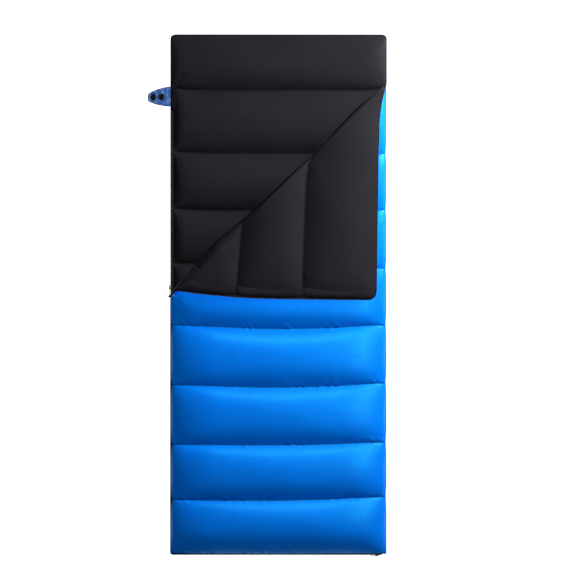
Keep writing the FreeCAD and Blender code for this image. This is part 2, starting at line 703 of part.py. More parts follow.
def main():
    fill_sheet()
    build_back()
    build_cover()
    build_side_fold()
    flap_start = f"({FOLD_LEFT_Y} + corner_clearance)"
    build_tapes(flap_start)
    build_coils(flap_start)
    build_draft_tubes(flap_start)
    build_sliders()
    build_tab()
    build_snap_studs()
    doc.recompute()
    for thing in doc.Objects:
        check(thing)
    os.makedirs("parts", exist_ok=True)
    for label, thing in nodes.items():
        if thing.Shape.isNull() or not thing.Shape.isValid() or not thing.Shape.Solids:
            raise RuntimeError(f"{label} has no valid solid")
        thing.Shape.exportStep(f"parts/{label}.step")
        size = thing.Shape.BoundBox
        print(
            f"{label:20s} solids {len(thing.Shape.Solids)} volume {thing.Shape.Volume / 1000:10.1f} cm3"
            f"  x {size.XMin:.1f} {size.XMax:.1f}  y {size.YMin:.1f} {size.YMax:.1f}"
            f"  z {size.ZMin:.1f} {size.ZMax:.1f}"
        )


main()
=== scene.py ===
"""Rectangular quilted sleeping bag, lying flat with the zip-side corner of its cover folded back.

Every cloth surface is built from its seams: a grid whose rows follow the quilting lines is puffed
up between them with a cloth simulation, then cut along the fold line. Metres, +Z up, +Y head.
"""

import json
import math

import bmesh
import bpy
import numpy as np
from mathutils import Matrix, Vector


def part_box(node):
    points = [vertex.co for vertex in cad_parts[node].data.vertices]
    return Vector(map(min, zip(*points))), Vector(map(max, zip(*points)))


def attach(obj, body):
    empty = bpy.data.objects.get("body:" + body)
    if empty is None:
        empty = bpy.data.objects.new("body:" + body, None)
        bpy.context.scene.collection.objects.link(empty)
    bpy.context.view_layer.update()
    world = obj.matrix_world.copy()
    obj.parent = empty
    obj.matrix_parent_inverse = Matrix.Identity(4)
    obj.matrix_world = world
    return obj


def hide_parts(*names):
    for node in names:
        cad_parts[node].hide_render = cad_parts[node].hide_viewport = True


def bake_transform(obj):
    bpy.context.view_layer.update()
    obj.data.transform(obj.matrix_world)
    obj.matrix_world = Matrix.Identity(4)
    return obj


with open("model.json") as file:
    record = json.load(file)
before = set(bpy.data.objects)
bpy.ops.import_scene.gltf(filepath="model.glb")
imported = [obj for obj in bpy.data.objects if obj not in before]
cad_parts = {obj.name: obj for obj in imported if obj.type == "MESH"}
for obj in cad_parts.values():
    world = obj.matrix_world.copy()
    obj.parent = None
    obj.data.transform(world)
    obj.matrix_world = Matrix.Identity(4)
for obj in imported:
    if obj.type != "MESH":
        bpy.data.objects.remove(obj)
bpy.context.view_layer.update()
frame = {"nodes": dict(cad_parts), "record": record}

JOINTS = {j["name"]: j for j in frame["record"]["behaviour"]["joints"]}


def lo(node):
    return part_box(node)[0]


def hi(node):
    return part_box(node)[1]


# --- places read from the frame -------------------------------------------------------------------

LEFT = lo("back_lining")[0]
RIGHT = hi("back_lining")[0]
HEAD = hi("back_lining")[1]
HEM = hi("cover_shell")[1]
FOOT = lo("cover_shell")[1]
BACK_LEFT = lo("back_fill_2")[0] - 0.0008
BACK_FOOT = lo("back_lining")[1]
NECK = lo("back_fill_1")[1] - 0.0015
COVER_MID = lo("cover_shell")[2]
COVER_HIGH = hi("cover_shell")[2]
COVER_LOW = lo("cover_lining")[2]
BACK_TOP = hi("back_lining")[2]
TAPE_EDGE = lo("zip_tape_back")[2]
CHAIN_Z = (hi("zip_coil_back")[2] + lo("zip_coil_cover")[2]) / 2
COIL_HALF = 0.0013
CHAIN_X = lo("zip_coil_back")[0] + COIL_HALF
CHAIN_Y = lo("zip_coil_back")[1] + COIL_HALF
HINGE = Vector(JOINTS["corner_fold"]["pos_m"])
ALONG = -Vector(JOINTS["corner_fold"]["axis"]).normalized()
OUT = Vector((-ALONG.y, ALONG.x, 0))
TURN = Matrix.Translation(HINGE) @ Matrix.Rotation(math.pi, 4, ALONG) @ Matrix.Translation(-HINGE)


def curve(points):
    """A smooth line y(x), or any other value, through the given points."""
    xs, ys = np.array(points, float).T
    return lambda x: np.interp(x, xs, ys)


def smooth(x, a, b):
    """0 up to a, 1 from b on, and an even ease between them."""
    t = np.clip((np.asarray(x, float) - a) / (b - a), 0, 1)
    return t * t * (3 - 2 * t)


def rounded(x, points, width=0.012):
    """The curve through the points with its corners eased over a width."""
    f = curve(points)
    offsets = np.linspace(-1, 1, 9) * width
    return sum(f(x + o) for o in offsets) / len(offsets)


# --- materials ------------------------------------------------------------------------------------


class Tree:
    """A few short words for building a node material."""

    def __init__(self, name):
        self.material = bpy.data.materials.new(name)
        self.material.use_nodes = True
        self.nodes = self.material.node_tree.nodes
        self.links = self.material.node_tree.links
        self.shader = self.nodes["Principled BSDF"]

    def add(self, kind, inputs=None, **settings):
        node = self.nodes.new(f"ShaderNode{kind}")
        for key, value in settings.items():
            setattr(node, key, value)
        for key, value in (inputs or {}).items():
            self.give(node.inputs[key], value)
        return node

    def give(self, socket, value):
        if isinstance(value, bpy.types.NodeSocket):
            self.links.new(value, socket)
        else:
            socket.default_value = value

    def math(self, operation, a, b=None, c=None, clamp=False):
        node = self.add("Math", operation=operation, use_clamp=clamp)
        for i, value in enumerate((a, b, c)):
            if value is not None:
                self.give(node.inputs[i], value)
        return node.outputs[0]

    def ramp(self, value, a, b, low=0.0, high=1.0):
        node = self.add("MapRange", {0: value, 1: a, 2: b, 3: low, 4: high})
        node.interpolation_type = "SMOOTHSTEP"
        return node.outputs[0]

    def mix(self, factor, a, b, blend="MIX"):
        node = self.add("Mix", data_type="RGBA", blend_type=blend)
        self.give(node.inputs[0], factor)
        self.give(node.inputs[6], a)
        self.give(node.inputs[7], b)
        return node.outputs[2]

    def place(self, uv="weave"):
        return self.add("UVMap", uv_map=uv).outputs[0]

    def noise(self, place, scale, detail=2.0, rough=0.5, stretch=(1, 1, 1)):
        mapped = self.add("Mapping", {"Vector": place, "Scale": stretch}).outputs[0]
        inputs = {"Vector": mapped, "Scale": scale, "Detail": detail, "Roughness": rough}
        return self.add("TexNoise", inputs).outputs["Fac"]


def rgba(c):
    return (*c, 1.0)


def cloth(name, deep, pale, rough=0.6, sheen=0.2, tint=(1, 1, 1), specular=0.4, thread=None,
          weave=0.0007, uv="weave", mottle=None, shine=(1, 1, 1), puckers=4.5, blotches=110.0):
    """Woven cloth: two crossing threads, uneven dye, and stitched seams where thread is given, with painted
    shade darkening the cloth beside those seams.
    """
    t = Tree(name)
    place = t.place(uv)
    broad = t.noise(place, 5.0, 3.0)
    fine = t.noise(place, 60.0, 2.0)
    tone = t.math("MULTIPLY_ADD", fine, 0.25, t.math("MULTIPLY", broad, 0.75))
    colour = t.mix(t.ramp(tone, 0.3, 0.7), rgba(deep), rgba(pale))
    if mottle:
        blotch = t.noise(place, blotches, 3.0, 0.6)
        colour = t.mix(t.ramp(blotch, 0.46, 0.62), colour, rgba(mottle))
    split = t.add("SeparateXYZ", {0: place})
    warp = t.math("SINE", t.math("MULTIPLY", split.outputs[0], 2 * math.pi / weave))
    weft = t.math("SINE", t.math("MULTIPLY", split.outputs[1], 2 * math.pi / weave))
    threads = t.math("MULTIPLY", warp, weft)
    height = t.math("MULTIPLY", threads, 0.5)
    crumple = t.math("MULTIPLY", t.noise(place, 30.0, 3.0, 0.55, (1.0, 0.5, 1.0)), 0.25)
    if thread:
        seam = t.add("SeparateXYZ", {0: t.place("seam")})
        away = t.math("ABSOLUTE", seam.outputs[1])
        # painted shade: the colour is halved at each seam line and eases back to full 6 mm away
        seam_shade = t.ramp(away, 0.0, 0.006, 0.5, 1.0)
        colour = t.mix(1.0, colour, seam_shade, "MULTIPLY")
        dash = t.math("LESS_THAN", t.math("FRACT", t.math("DIVIDE", seam.outputs[0], 0.004)), 0.65)
        stitch = t.math("MULTIPLY", dash, t.math("LESS_THAN", away, 0.0007))
        colour = t.mix(stitch, colour, rgba(thread))
        slant = t.math("MULTIPLY_ADD", seam.outputs[1], 0.8, seam.outputs[0])
        patch = t.ramp(t.noise(place, 6.0, 1.0), 0.45, 0.60)
        drawn = t.add("CombineXYZ", {0: slant, 1: t.math("MULTIPLY", seam.outputs[1], 0.12)}).outputs[0]
        pucker = t.ramp(t.noise(drawn, 34.0, 1.0, 0.4), 0.35, 0.65)
        pucker = t.math("MULTIPLY", pucker, t.ramp(away, 0.0, 0.036, 1.0, 0.0))
        reach_out = t.math("MULTIPLY_ADD", patch, 0.9, 0.1)
        above = t.ramp(seam.outputs[1], -0.004, 0.004, 0.25, 1.0)
        crumple = t.math("MULTIPLY_ADD", t.math("MULTIPLY", pucker, above),
                         t.math("MULTIPLY", reach_out, puckers), crumple)
    bump = t.add("Bump", {"Height": height, "Strength": 0.25, "Distance": 0.0001})
    bump = t.add("Bump", {"Height": crumple, "Strength": 0.6, "Distance": 0.0012,
                          "Normal": bump.outputs[0]})
    t.give(t.shader.inputs["Normal"], bump.outputs[0])
    t.give(t.shader.inputs["Base Color"], colour)
    t.give(t.shader.inputs["Roughness"], t.ramp(fine, 0.2, 0.8, rough - 0.05, rough + 0.05))
    t.give(t.shader.inputs["Sheen Weight"], sheen)
    t.give(t.shader.inputs["Sheen Roughness"], 0.4)
    t.give(t.shader.inputs["Sheen Tint"], rgba(tint))
    t.give(t.shader.inputs["Specular IOR Level"], specular)
    t.give(t.shader.inputs["Specular Tint"], rgba(shine))
    return t.material


def hard(name, deep, pale, rough, coat=0.0):
    """Moulded or cast part: a fine grain and slight unevenness of tone and gloss."""
    t = Tree(name)
    place = t.add("TexCoord").outputs["Object"]
    grain = t.noise(place, 900.0, 3.0)
    wear = t.noise(place, 160.0, 2.0)
    t.give(t.shader.inputs["Base Color"], t.mix(t.ramp(wear, 0.35, 0.7), rgba(deep), rgba(pale)))
    t.give(t.shader.inputs["Roughness"], t.ramp(grain, 0.25, 0.75, rough - 0.06, rough + 0.08))
    bump = t.add("Bump", {"Height": grain, "Strength": 0.3, "Distance": 0.0001})
    t.give(t.shader.inputs["Normal"], bump.outputs[0])
    t.give(t.shader.inputs["Specular IOR Level"], 0.3)
    t.give(t.shader.inputs["Coat Weight"], coat)
    return t.material


BLUE = dict(deep=(0.0, 0.135, 0.66), pale=(0.0, 0.155, 0.74), rough=0.38, sheen=0.2,
            tint=(0.0, 0.45, 1.0), specular=0.8, shine=(0.05, 0.8, 1.0))
BLACK = dict(deep=(0.0070, 0.0068, 0.0092), pale=(0.0092, 0.0089, 0.0118), rough=0.6, sheen=0.035,
             tint=(0.8, 0.8, 1.0), specular=0.07)
SHELL = cloth("shell_cloth", **BLUE, thread=(0.0, 0.06, 0.35))
SHELL_PLAIN = cloth("shell_cloth_unstitched", **BLUE)
LINING = cloth("lining_cloth", **BLACK, thread=(0.008, 0.008, 0.010), puckers=1.2)
PLAIN = cloth("lining_cloth_unstitched", **{**BLACK, "sheen": 0.0, "specular": 0.03})
TAPE = cloth("zip_tape_weave", (0.004, 0.004, 0.005), (0.007, 0.007, 0.008), 0.8, 0.0, weave=0.0012,
             specular=0.06)
# painted shade: the facing's black is made darker than the tape and lining so that it looks shaded
FACING_SHADED = cloth("edge_facing_painted_shade", (0.0016, 0.0016, 0.002), (0.0028, 0.0028, 0.0034), 0.85, 0.0, specular=0.03)
TAB = cloth("tab_weave", (0.045, 0.15, 0.58), (0.09, 0.27, 0.80), 0.6, 0.3, (0.6, 0.8, 1.0),
            weave=0.001, mottle=(0.26, 0.52, 1.0), blotches=58.0)
# darker navy for the tab's edge faces and its end
TAB_EDGE_NAVY = cloth("tab_edge_navy", (0.008, 0.035, 0.19), (0.014, 0.055, 0.26), 0.65, 0.1, (0.6, 0.8, 1.0),
                weave=0.001)
COIL = hard("coil_nylon", (0.008, 0.008, 0.009), (0.016, 0.016, 0.018), 0.45)
METAL = hard("slider_enamel", (0.005, 0.005, 0.006), (0.011, 0.011, 0.012), 0.5, 0.06)
SNAP = hard("snap_moulding", (0.0035, 0.0035, 0.0042), (0.007, 0.007, 0.0085), 0.5)

# --- meshes ---------------------------------------------------------------------------------------


def mesh_object(name, points, faces, material, uvs=None):
    """An object from points and faces; uvs maps a layer's name to one pair per point."""
    mesh = bpy.data.meshes.new(name)
    mesh.from_pydata([tuple(p) for p in points], [], [tuple(f) for f in faces])
    mesh.validate()
    index = np.zeros(len(mesh.loops), int)
    mesh.loops.foreach_get("vertex_index", index)
    for layer, pairs in (uvs or {}).items():
        data = mesh.uv_layers.new(name=layer)
        data.data.foreach_set("uv", np.array(pairs, np.float32)[index].ravel())
    mesh.shade_smooth()
    mesh.materials.append(material)
    thing = bpy.data.objects.new(name, mesh)
    bpy.context.scene.collection.objects.link(thing)
    return thing


def grid_faces(rows, columns, flip=False, loop=False):
    """Faces of a grid of points; loop joins its last column to its first."""
    faces = []
    last = columns if loop else columns - 1
    for i in range(rows - 1):
        for j in range(last):
            a, b = i * columns + j, i * columns + (j + 1) % columns
            face = (a, b, b + columns, a + columns)
            faces.append(face[::-1] if flip else face)
    return faces


def points_of(thing):
    found = np.zeros(len(thing.data.vertices) * 3)
    thing.data.vertices.foreach_get("co", found)
    return found.reshape(-1, 3)


def set_points(thing, points):
    thing.data.vertices.foreach_set("co", np.asarray(points, np.float32).ravel())
    thing.data.update()


STEP = 0.0075
DOME = 0.56
PRESSURE = 2.0
PUFF_FRAMES = 20


def fall(distance, width):
    """0 at an edge rising to 1 at a width from it, round like a stuffed edge."""
    return np.sqrt(1 - (1 - np.clip(distance / width, 0, 1)) ** 2)


def panel(name, sides, seams, edges, levels, up, material, ends_at_fold=None):
    """A quilted surface between its seams, built from the foot up.

    sides are the lines x(y) on the left and right; seams the lines y(x); edges gives, for left,
    right, foot and head, the height of the sewn edge and the width over which the stuffing thins;
    levels are the heights of seams and crowns. The seam ends_at_fold holds only on the cover's side
    of the fold line. Returns the object and its pinned points.
    """
    seam, crown = levels
    columns = int((RIGHT - LEFT) / STEP) + 1
    u = np.linspace(0, 1, columns)
    x = LEFT + (RIGHT - LEFT) * u
    rows, held, near, tall = [], [], [], []
    for i in range(len(seams) - 1):
        low, high = seams[i](x), seams[i + 1](x)
        count = max(4, int(round(np.mean(high - low) / STEP)))
        for k in range(count + (i == len(seams) - 2)):
            t = k / count - 0.035 * math.sin(4 * math.pi * k / count)
            y = low + (high - low) * t
            rows.append(y)
            near.append(np.where(y - low < high - y, y - low, y - high))
            held.append(i if k == 0 else (i + 1 if k == count else -1))
            tall.append(np.full(columns, 4 * t * (1 - t)))
    y = np.array(rows)
    left, right = sides[0](y), sides[1](y)
    px = left + (right - left) * u
    tall = np.array(tall)
    held = np.repeat(np.array(held)[:, None], columns, 1)
    v = np.stack([px, y], -1) - np.array(HINGE[:2])
    beyond = v @ np.array(OUT[:2]) > 0
    loose = (held == ends_at_fold) & beyond
    if ends_at_fold:
        gap = seams[ends_at_fold + 1](px) - seams[ends_at_fold - 1](px)
        t = (y - seams[ends_at_fold - 1](px)) / gap
        joined = (t > 0) & (t < 1) & beyond
        share = smooth(v @ np.array(OUT[:2]), -0.004, 0.008)
        tall = np.where(joined, tall + (4 * t * (1 - t) - tall) * share, tall)
    z = seam + (crown - seam) * np.clip(tall, 0, 1) ** DOME
    for edge, away in zip(edges, (px - left, right - px, y - y[0], y[-1] - y)):
        height = edge[0](y) if callable(edge[0]) else edge[0]
        width = edge[1](y) if callable(edge[1]) else edge[1]
        z = height + (z - height) * fall(away, width)
    points = np.stack([px, y, z], -1).reshape(-1, 3)
    flat = np.stack([px, y], -1).reshape(-1, 2)
    away = np.stack([px, np.where(beyond & (ends_at_fold is not None) & (np.abs(held) == ends_at_fold),
                                  1.0, np.array(near))], -1).reshape(-1, 2)
    faces = grid_faces(len(rows), columns, flip=not up)
    thing = mesh_object(name, points, faces, material, {"weave": flat, "seam": away})
    pinned = (held >= 0) & ~loose
    pinned[:, 0] = pinned[:, -1] = pinned[0] = pinned[-1] = True
    return thing, np.flatnonzero(pinned.ravel())


def puff(sheets):
    """Blows every sheet up between its pinned seams.

    sheets holds (object, pinned points, pressure, greatest move) for each one.
    """
    scene = bpy.context.scene
    starts = {}
    for thing, pins, pressure, _ in sheets:
        starts[thing.name] = points_of(thing)
        group = thing.vertex_groups.new(name="pins")
        group.add([int(p) for p in pins], 1.0, "REPLACE")
        modifier = thing.modifiers.new("puff", "CLOTH")
        s = modifier.settings
        s.quality = 5
        s.mass = 0.15
        s.tension_stiffness = s.compression_stiffness = 25
        s.shear_stiffness = 6
        s.bending_stiffness = 0.5
        s.tension_damping = s.compression_damping = s.shear_damping = 8
        s.air_damping = 3
        s.use_pressure = True
        s.uniform_pressure_force = pressure
        s.shrink_min = 0.0
        s.vertex_group_mass = "pins"
        s.pin_stiffness = 1
        s.effector_weights.gravity = 0
        modifier.collision_settings.use_collision = False
        modifier.collision_settings.use_self_collision = False
        modifier.point_cache.frame_start = 1
        modifier.point_cache.frame_end = PUFF_FRAMES
    for i in range(1, PUFF_FRAMES + 1):
        scene.frame_set(i)
    graph = bpy.context.evaluated_depsgraph_get()
    found = {t.name: points_of(t.evaluated_get(graph)) for t, *_ in sheets}
    for thing, _, _, cap in sheets:
        start = starts[thing.name]
        move = found[thing.name] - start
        size = np.linalg.norm(move, axis=1, keepdims=True)
        thing.modifiers.clear()
        thing.vertex_groups.clear()
        set_points(thing, start + move * np.minimum(1, cap / np.maximum(size, 1e-9)))
    scene.frame_set(1)


# --- the seams ------------------------------------------------------------------------------------


def pinch(y, seams, depth, width=0.03):
    """How far an edge is drawn in beside each seam end."""
    return sum(depth * np.exp(-((y - s) / width) ** 2) for s in seams)


def corner(y, end, radius):
    """Inset of the side near a rounded corner that ends at y = end."""
    d = np.clip(radius - np.abs(y - end), 0, radius)
    return radius - np.sqrt(radius ** 2 - d ** 2)


L, R = LEFT, RIGHT
COVER_SEAMS = [
    lambda x: curve([(L, FOOT - 0.006), (0, FOOT - 0.0085), (R, FOOT - 0.006)])(x),
    lambda x: rounded(x, [(L, -0.853), (-0.2, -0.8563), (0.1, -0.855), (R, -0.8412)], 0.1),
    lambda x: rounded(x, [(L, -0.6237), (-0.1, -0.627), (0.2, -0.624), (R, -0.6140)], 0.1),
    lambda x: rounded(x, [(L, -0.3755), (-0.05, -0.3885), (0.25, -0.382), (R, -0.367)], 0.1),
    lambda x: rounded(x, [(L, -0.1265), (-0.05, -0.1455), (0.2, -0.1425), (R, -0.127)], 0.1),
    lambda x: rounded(x, [(L, 0.095), (-0.331, 0.101), (R, 0.1067)], 0.03),
    lambda x: rounded(x, [(L, 0.2597), (-0.16, 0.2793), (-0.10, 0.2865), (R, 0.352)], 0.03),
    lambda x: rounded(x, [(L, 0.533), (0.02, 0.541), (0.11, 0.551), (0.158, 0.577), (R, 0.5827)], 0.012),
    lambda x: HEM + rounded(x, [(L, 0), (0.15, 0), (0.30, 0.003), (0.36, 0.010), (0.40, 0.018),
                                (0.425, 0.024), (R, 0.008)], 0.01),
]
COVER_ENDS_L = [-0.853, -0.6237, -0.3755, -0.1265, 0.258, 0.533]
COVER_ENDS_R = [-0.8412, -0.614, -0.367, -0.127, 0.1067, 0.352, 0.5827]
BACK_SEAMS = [
    lambda x: np.full_like(x, BACK_FOOT),
    lambda x: np.full_like(x, -0.826),
    lambda x: np.full_like(x, -0.586),
    lambda x: np.full_like(x, -0.347),
    lambda x: np.full_like(x, -0.108),
    lambda x: rounded(x, [(L, 0.1266), (R, 0.125)], 0.05),
    lambda x: rounded(x, [(L, 0.3546), (-0.3, 0.3475), (0.1, 0.3455), (R, 0.350)], 0.05),
    lambda x: rounded(x, [(L, 0.5925), (-0.3, 0.5865), (0.1, 0.585), (R, 0.590)], 0.05),
    lambda x: rounded(x, [(L, 0.862), (-0.40, 0.852), (-0.2, 0.8495), (0.36, 0.8495), (R, 0.859)], 0.03),
    lambda x: np.full_like(x, HEAD),
]
BACK_ENDS = [-0.826, -0.586, -0.347, -0.108, 0.1266, 0.3546, 0.5925]


def drawn_in(y):
    """The corner's zip edge draws in beside the fold, where the round of the fold takes up cloth."""
    past = y - HINGE.y
    taken = curve([(0, 0.031), (0.05, 0.025), (0.12, 0.0165), (0.21, 0.009), (0.27, 0.004), (0.36, 0.001),
                   (0.45, 0)])(past)
    return np.minimum(taken, 0.95 * np.maximum(past, 0))


def cover_left(y):
    return L + 0.001 + drawn_in(y) + pinch(y, COVER_ENDS_L, 0.004) + corner(y, HEM, 0.036) * (y > HEM - 0.036)


def cover_right(y):
    return R - pinch(y, COVER_ENDS_R, 0.004)


def back_left(y):
    head = smooth(y, 0.846, 0.866)
    narrow = BACK_LEFT - 0.007 + pinch(y, BACK_ENDS, 0.0006)
    wide = L - 0.001 + corner(y, HEAD, 0.02) * (y > HEAD - 0.02)
    return narrow + (wide - narrow) * head


def back_right(y):
    head = smooth(y, 0.85, 0.88)
    wide = R + 0.005 - corner(y, HEAD, 0.02) * (y > HEAD - 0.02)
    return R - 0.001 + (wide - R + 0.001) * head


# --- quilted cloth --------------------------------------------------------------------------------

ZIPPED = COVER_LOW + 0.003


def cover_left_edge(y):
    """Height of the cover's zip edge: drawn down to the back where it is zipped."""
    return ZIPPED + (COVER_MID - ZIPPED) * smooth(y, -0.16, -0.03)


def cover_left_width(y):
    return 0.20 - 0.11 * smooth(y, -0.10, 0.02)


COVER_EDGES = ((cover_left_edge, cover_left_width), (COVER_LOW + 0.008, 0.17), (ZIPPED, 0.10),
               (COVER_MID, 0.06))
BACK_EDGES = ((0.025, 0.05), (0.022, 0.09), (0.018, 0.08), (0.016, 0.08))
cover_top, cover_top_pins = panel("cover_top", (cover_left, cover_right), COVER_SEAMS, COVER_EDGES,
                                  (COVER_MID - 0.002, COVER_HIGH + 0.003), True, SHELL, 5)
cover_under, cover_under_pins = panel("cover_under", (cover_left, cover_right), COVER_SEAMS, COVER_EDGES,
                                      (COVER_MID - 0.0035, COVER_LOW - 0.001), False, LINING, 5)
back_top, back_top_pins = panel("back_lining_cloth", (back_left, back_right), BACK_SEAMS, BACK_EDGES,
                                (0.016, BACK_TOP + 0.005), True, LINING)
puff([
    (cover_top, cover_top_pins, PRESSURE, 0.010),
    (cover_under, cover_under_pins, PRESSURE, 0.008),
    (back_top, back_top_pins, PRESSURE, 0.010),
])


def pressed(thing):
    """Flattens the shell a little where the folded corner lies on it."""
    p = points_of(thing)
    soft = HINGE.z - 0.0055
    squeezed = soft + 0.004 * (1 - np.exp(-np.maximum(p[:, 2] - soft, 0) / 0.004))
    share = smooth(p[:, 1], HINGE.y - 0.10, HINGE.y - 0.005)
    p[:, 2] = np.where(p[:, 2] > soft, p[:, 2] + (squeezed - p[:, 2]) * share, p[:, 2])
    set_points(thing, p)


pressed(cover_top)


def cut_at_fold(source, name, keep_out):
    """The part of a closed panel on one side of the fold line, and the cut's points in order."""
    thing = source.copy()
    thing.data = source.data.copy()
    thing.name = thing.data.name = name
    bpy.context.scene.collection.objects.link(thing)
    bm = bmesh.new()
    bm.from_mesh(thing.data)
    geometry = bm.verts[:] + bm.edges[:] + bm.faces[:]
    bmesh.ops.bisect_plane(bm, geom=geometry, plane_co=HINGE, plane_no=OUT, dist=1e-6,
                           clear_inner=keep_out, clear_outer=not keep_out)
    line = sorted((v.co.copy() for v in bm.verts if abs((v.co - HINGE).dot(OUT)) < 2e-6),
                  key=lambda c: (c - HINGE).dot(ALONG))
    bm.to_mesh(thing.data)
    bm.free()
    return thing, line


cover_shell, shell_line = cut_at_fold(cover_top, "cover_shell_cloth", False)
cover_lining, lining_line = cut_at_fold(cover_under, "cover_lining_cloth", False)
flap_shell, _ = cut_at_fold(cover_top, "flap_shell_cloth", True)
flap_lining, _ = cut_at_fold(cover_under, "flap_lining_cloth", True)
for source in (cover_top, cover_under):
    bpy.data.objects.remove(source)
for thing in (flap_shell, flap_lining):
    thing.data.transform(TURN)

REACH = np.array([(0.0, 2), (0.02, 9), (0.05, 16), (0.117, 18), (0.176, 23.7), (0.306, 33), (0.431, 19.5),
                  (0.520, 14.2), (0.6, 12.8), (0.683, 12.5), (0.76, 9), (0.841, 3.1), (0.866, 1.8),
                  (0.910, 5.1), (0.993, 11.6), (1.067, 15), (1.135, 12.6), (1.186, 4), (1.211, 0.5)])


def reach(s):
    """How far the round of the fold stands out of the fold line."""
    offsets = np.linspace(-0.02, 0.02, 5)
    return np.mean([np.interp(s + o, REACH[:, 0], REACH[:, 1] / 1000) for o in offsets], axis=0)


def nose(name, line, inner, material, steps=14):
    """The round of the fold: joins the cut edges of cover and corner, bulging out beyond them."""
    points, weave, away = [], [], []
    end = (line[-1] - HINGE).dot(ALONG)
    along = np.array([(p - HINGE).dot(ALONG) for p in line])
    tall = np.array([max(HINGE.z - p.z, 0.0005) for p in line])
    even = sum(np.interp(along + o, along, tall) for o in np.linspace(-0.035, 0.035, 15)) / 15
    for p, s, height, eased in zip(line, along, tall, even):
        out = max(float(reach(s)), 0.0005)
        if inner:
            ends = float(smooth(min(s, end - s), 0.0, 0.03))
            out = out + (0.002 - out) * ends if out > 0.002 else 0.6 * out
        base = HINGE + ALONG * s
        for i in range(steps + 1):
            a = math.pi * (i / steps - 0.5)
            across = out * abs(math.cos(a)) ** 0.8
            at = base + OUT * across
            level = eased + (height - eased) * abs(math.sin(a)) ** 6
            at.z = HINGE.z + level * math.sin(a)
            points.append(at)
            weave.append((s, a * 0.03))
            away.append((s, 1))
    faces = grid_faces(len(line), steps + 1, flip=inner)
    return mesh_object(name, points, faces, material, {"weave": weave, "seam": away})


nose_lining = nose("fold_round_lining", lining_line, False, PLAIN)
nose_shell = nose("fold_round_shell", shell_line, True, SHELL_PLAIN)

# --- back shell -----------------------------------------------------------------------------------


back_shell, _ = panel("back_shell_cloth", (back_left, back_right), BACK_SEAMS, BACK_EDGES,
                      (0.0045, 0.0004), False, SHELL)

# --- side fold ------------------------------------------------------------------------------------


def build_side_fold():
    """The plain strip of shell cloth that joins back and cover along the sewn side."""
    ys = np.arange(FOOT - 0.004, HEM + 0.001, 0.012)
    steps = 10
    points, weave = [], []
    for y in ys:
        for i in range(steps + 1):
            a = i / steps
            z = 0.020 + (COVER_LOW + 0.012 - 0.020) * a
            x = float(back_right(np.array([y]))[0]) * (1 - a) + float(cover_right(np.array([y]))[0]) * a
            points.append((x + 0.0025 * math.sin(math.pi * a), y, z))
            weave.append((y, z))
    faces = grid_faces(len(ys), steps + 1, flip=True)
    return mesh_object("side_fold_cloth", points, faces, SHELL_PLAIN, {"weave": weave})


side_fold = build_side_fold()

# --- zips -----------------------------------------------------------------------------------------


def strip(name, sections, material):
    """A ribbon lofted through its closed cross-sections, each a list of points, and capped."""
    count = len(sections[0])
    points = [p for s in sections for p in s]
    lengths = [0.0]
    for a, b in zip(sections, sections[1:]):
        lengths.append(lengths[-1] + (Vector(b[0]) - Vector(a[0])).length)
    weave = []
    for length, s in zip(lengths, sections):
        across = 0.0
        for k, p in enumerate(s):
            across += (Vector(p) - Vector(s[k - 1])).length if k else 0.0
            weave.append((length, across))
    faces = grid_faces(len(sections), count, loop=True)
    faces += [tuple(range(count)), tuple(range(len(points) - 1, len(points) - count - 1, -1))]
    return mesh_object(name, points, faces, material, {"weave": weave})


def tape(name, path, inward, edge_z, edge_in, chain_z, turn=False):
    """Zip tape: from the padded edge out to the chain and up or down to the coil.

    path is the chain's line in plan, inward the direction to the padded edge at each point.
    """
    sections = []
    for (x, y), (ix, iy) in zip(path, inward):
        up = 1 if chain_z > edge_z else -1
        w = [(edge_in, edge_z), (0.008, edge_z + up * 0.001), (0.0035, edge_z + up * 0.004),
             (0.0016, chain_z - up * 0.004), (0.0012, chain_z - up * 0.0014)]
        thick = 0.0007
        ring = [(x + ix * (d + thick), y + iy * (d + thick), z) for d, z in w]
        ring += [(x + ix * (d - thick), y + iy * (d - thick), z) for d, z in reversed(w)]
        sections.append(ring)
    thing = strip(name, sections, TAPE)
    if turn:
        thing.data.transform(TURN)
    return thing


def teeth(name, path, inward, z, turn=False, pitch=0.0026):
    """The coil of one side of a zip: a close row of rounded turns along the path."""
    points, faces = [], []
    line = [Vector((*p, z)) for p in path]
    out = [Vector((*i, 0)) for i in inward]
    lengths = [0.0]
    for a, b in zip(line, line[1:]):
        lengths.append(lengths[-1] + (b - a).length)
    total = lengths[-1]
    shape = [(-1, -1, -0.6), (1, -1, -0.6), (1, 1, -0.6), (-1, 1, -0.6),
             (-1, -1, 0.6), (1, -1, 0.6), (1, 1, 0.6), (-1, 1, 0.6)]
    for k in range(int(total / pitch)):
        d = (k + 0.5) * pitch
        i = min(np.searchsorted(lengths, d) - 1, len(line) - 2)
        f = (d - lengths[i]) / max(lengths[i + 1] - lengths[i], 1e-9)
        at = line[i].lerp(line[i + 1], f)
        side = out[i].lerp(out[i + 1], f).normalized()
        ahead = (line[i + 1] - line[i]).normalized()
        base = len(points)
        for a, b, c in shape:
            points.append(at + ahead * (a * 0.00085) + side * (b * 0.0014) + Vector((0, 0, c * 0.0026)))
        faces += [tuple(base + v for v in f4) for f4 in
                  ((3, 2, 1, 0), (4, 5, 6, 7), (0, 1, 5, 4), (1, 2, 6, 5), (2, 3, 7, 6), (3, 0, 4, 7))]
    thing = mesh_object(name, points, faces, COIL)
    if turn:
        thing.data.transform(TURN)
    return thing


COIL_OFFSET = 0.0030
ZIP_TOP = hi("zip_coil_back")[1]
FOOT_END = hi("zip_coil_back")[0]
TAPE_TOP = hi("zip_tape_back")[1]
TAPE_END = hi("zip_tape_back")[0]


